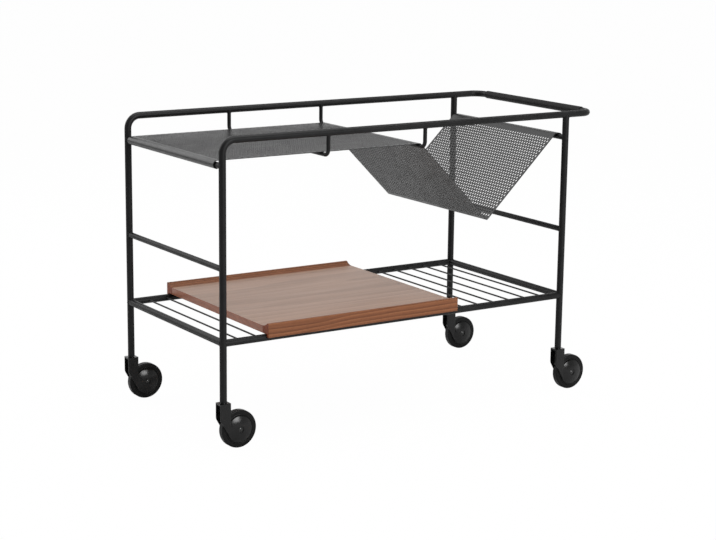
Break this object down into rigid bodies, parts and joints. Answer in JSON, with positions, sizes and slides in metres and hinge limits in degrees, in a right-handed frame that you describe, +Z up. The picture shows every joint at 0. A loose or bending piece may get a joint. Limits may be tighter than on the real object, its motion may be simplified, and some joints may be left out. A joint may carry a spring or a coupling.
{
  "type": "storage trolley",
  "caption": "Black tube trolley on swivel casters with a perforated top shelf that folds into a magazine pocket beside the handle, and a sliding wooden tray on the lower wire shelf.",
  "frame": {"origin": "on the floor under the middle of the outline", "axes": "+X along the trolley towards the handle, -Y towards the near side, +Z up"},
  "size_m": [0.9095, 0.4278, 0.6075],
  "materials": {
    "frame_black": "satin powder coat",
    "sheet_black": "satin powder coat",
    "grip_black": "matt sleeve",
    "tray_board_wood": "satin walnut veneer",
    "tray_edge_wood": "satin walnut",
    "socket_black": "moulded",
    "stem_steel": "zinc plated",
    "fork_black": "satin moulding",
    "axle_black": "black oxide",
    "hub_black": "gloss moulding",
    "tyre_black": "smooth tread",
    "bush_plastic": "moulded"
  },
  "bodies": {
    "frame": {"top_rail_tube": "frame_black", "leg_near_right": "frame_black", "leg_far_right": "frame_black", "left_upper_bar": "frame_black", "left_middle_bar": "frame_black", "left_lower_tube": "frame_black", "right_upper_bar": "frame_black", "right_middle_bar": "frame_black", "right_lower_tube": "frame_black", "shelf_rail_near": "frame_black", "shelf_rail_far": "frame_black", "shelf_wires": "frame_black", "hanger_left": "frame_black", "hanger_right": "frame_black", "perforated_sheet": "sheet_black", "handle_grip": "grip_black", "leg_socket_near_left": "socket_black", "leg_socket_far_left": "socket_black", "leg_socket_near_right": "socket_black", "leg_socket_far_right": "socket_black"},
    "tray": {"tray_board": "tray_board_wood", "tray_edge_near": "tray_edge_wood", "tray_edge_far": "tray_edge_wood"},
    "caster_near_left": {"caster_fork_near_left": "fork_black", "caster_stem_near_left": "stem_steel", "caster_washer_near_left": "axle_black", "caster_axle_near_left": "axle_black"},
    "wheel_near_left": {"wheel_hub_near_left": "hub_black", "wheel_tyre_near_left": "tyre_black", "wheel_bush_near_left": "bush_plastic"},
    "caster_far_left": {"caster_fork_far_left": "fork_black", "caster_stem_far_left": "stem_steel", "caster_washer_far_left": "axle_black", "caster_axle_far_left": "axle_black"},
    "wheel_far_left": {"wheel_hub_far_left": "hub_black", "wheel_tyre_far_left": "tyre_black", "wheel_bush_far_left": "bush_plastic"},
    "caster_near_right": {"caster_fork_near_right": "fork_black", "caster_stem_near_right": "stem_steel", "caster_washer_near_right": "axle_black", "caster_axle_near_right": "axle_black"},
    "wheel_near_right": {"wheel_hub_near_right": "hub_black", "wheel_tyre_near_right": "tyre_black", "wheel_bush_near_right": "bush_plastic"},
    "caster_far_right": {"caster_fork_far_right": "fork_black", "caster_stem_far_right": "stem_steel", "caster_washer_far_right": "axle_black", "caster_axle_far_right": "axle_black"},
    "wheel_far_right": {"wheel_hub_far_right": "hub_black", "wheel_tyre_far_right": "tyre_black", "wheel_bush_far_right": "bush_plastic"}
  },
  "joints": [
    {"name": "tray_slide", "type": "slide", "parent": "frame", "child": "tray", "axis": [1, 0, 0], "range_m": [-0.0845, 0.2725]},
    {"name": "caster_swivel_near_left", "type": "hinge", "parent": "frame", "child": "caster_near_left", "pos_m": [-0.44325, -0.2, 0.09], "axis": [0, 0, 1], "continuous": true},
    {"name": "wheel_spin_near_left", "type": "hinge", "parent": "caster_near_left", "child": "wheel_near_left", "pos_m": [-0.41225, -0.2, 0.0375], "axis": [0, 1, 0], "continuous": true},
    {"name": "caster_swivel_far_left", "type": "hinge", "parent": "frame", "child": "caster_far_left", "pos_m": [-0.44325, 0.2, 0.09], "axis": [0, 0, 1], "continuous": true},
    {"name": "wheel_spin_far_left", "type": "hinge", "parent": "caster_far_left", "child": "wheel_far_left", "pos_m": [-0.41225, 0.2, 0.0375], "axis": [0, 1, 0], "continuous": true},
    {"name": "caster_swivel_near_right", "type": "hinge", "parent": "frame", "child": "caster_near_right", "pos_m": [0.37675, -0.2, 0.09], "axis": [0, 0, 1], "continuous": true},
    {"name": "wheel_spin_near_right", "type": "hinge", "parent": "caster_near_right", "child": "wheel_near_right", "pos_m": [0.40775, -0.2, 0.0375], "axis": [0, 1, 0], "continuous": true},
    {"name": "caster_swivel_far_right", "type": "hinge", "parent": "frame", "child": "caster_far_right", "pos_m": [0.37675, 0.2, 0.09], "axis": [0, 0, 1], "continuous": true},
    {"name": "wheel_spin_far_right", "type": "hinge", "parent": "caster_far_right", "child": "wheel_far_right", "pos_m": [0.40775, 0.2, 0.0375], "axis": [0, 1, 0], "continuous": true}
  ]
}
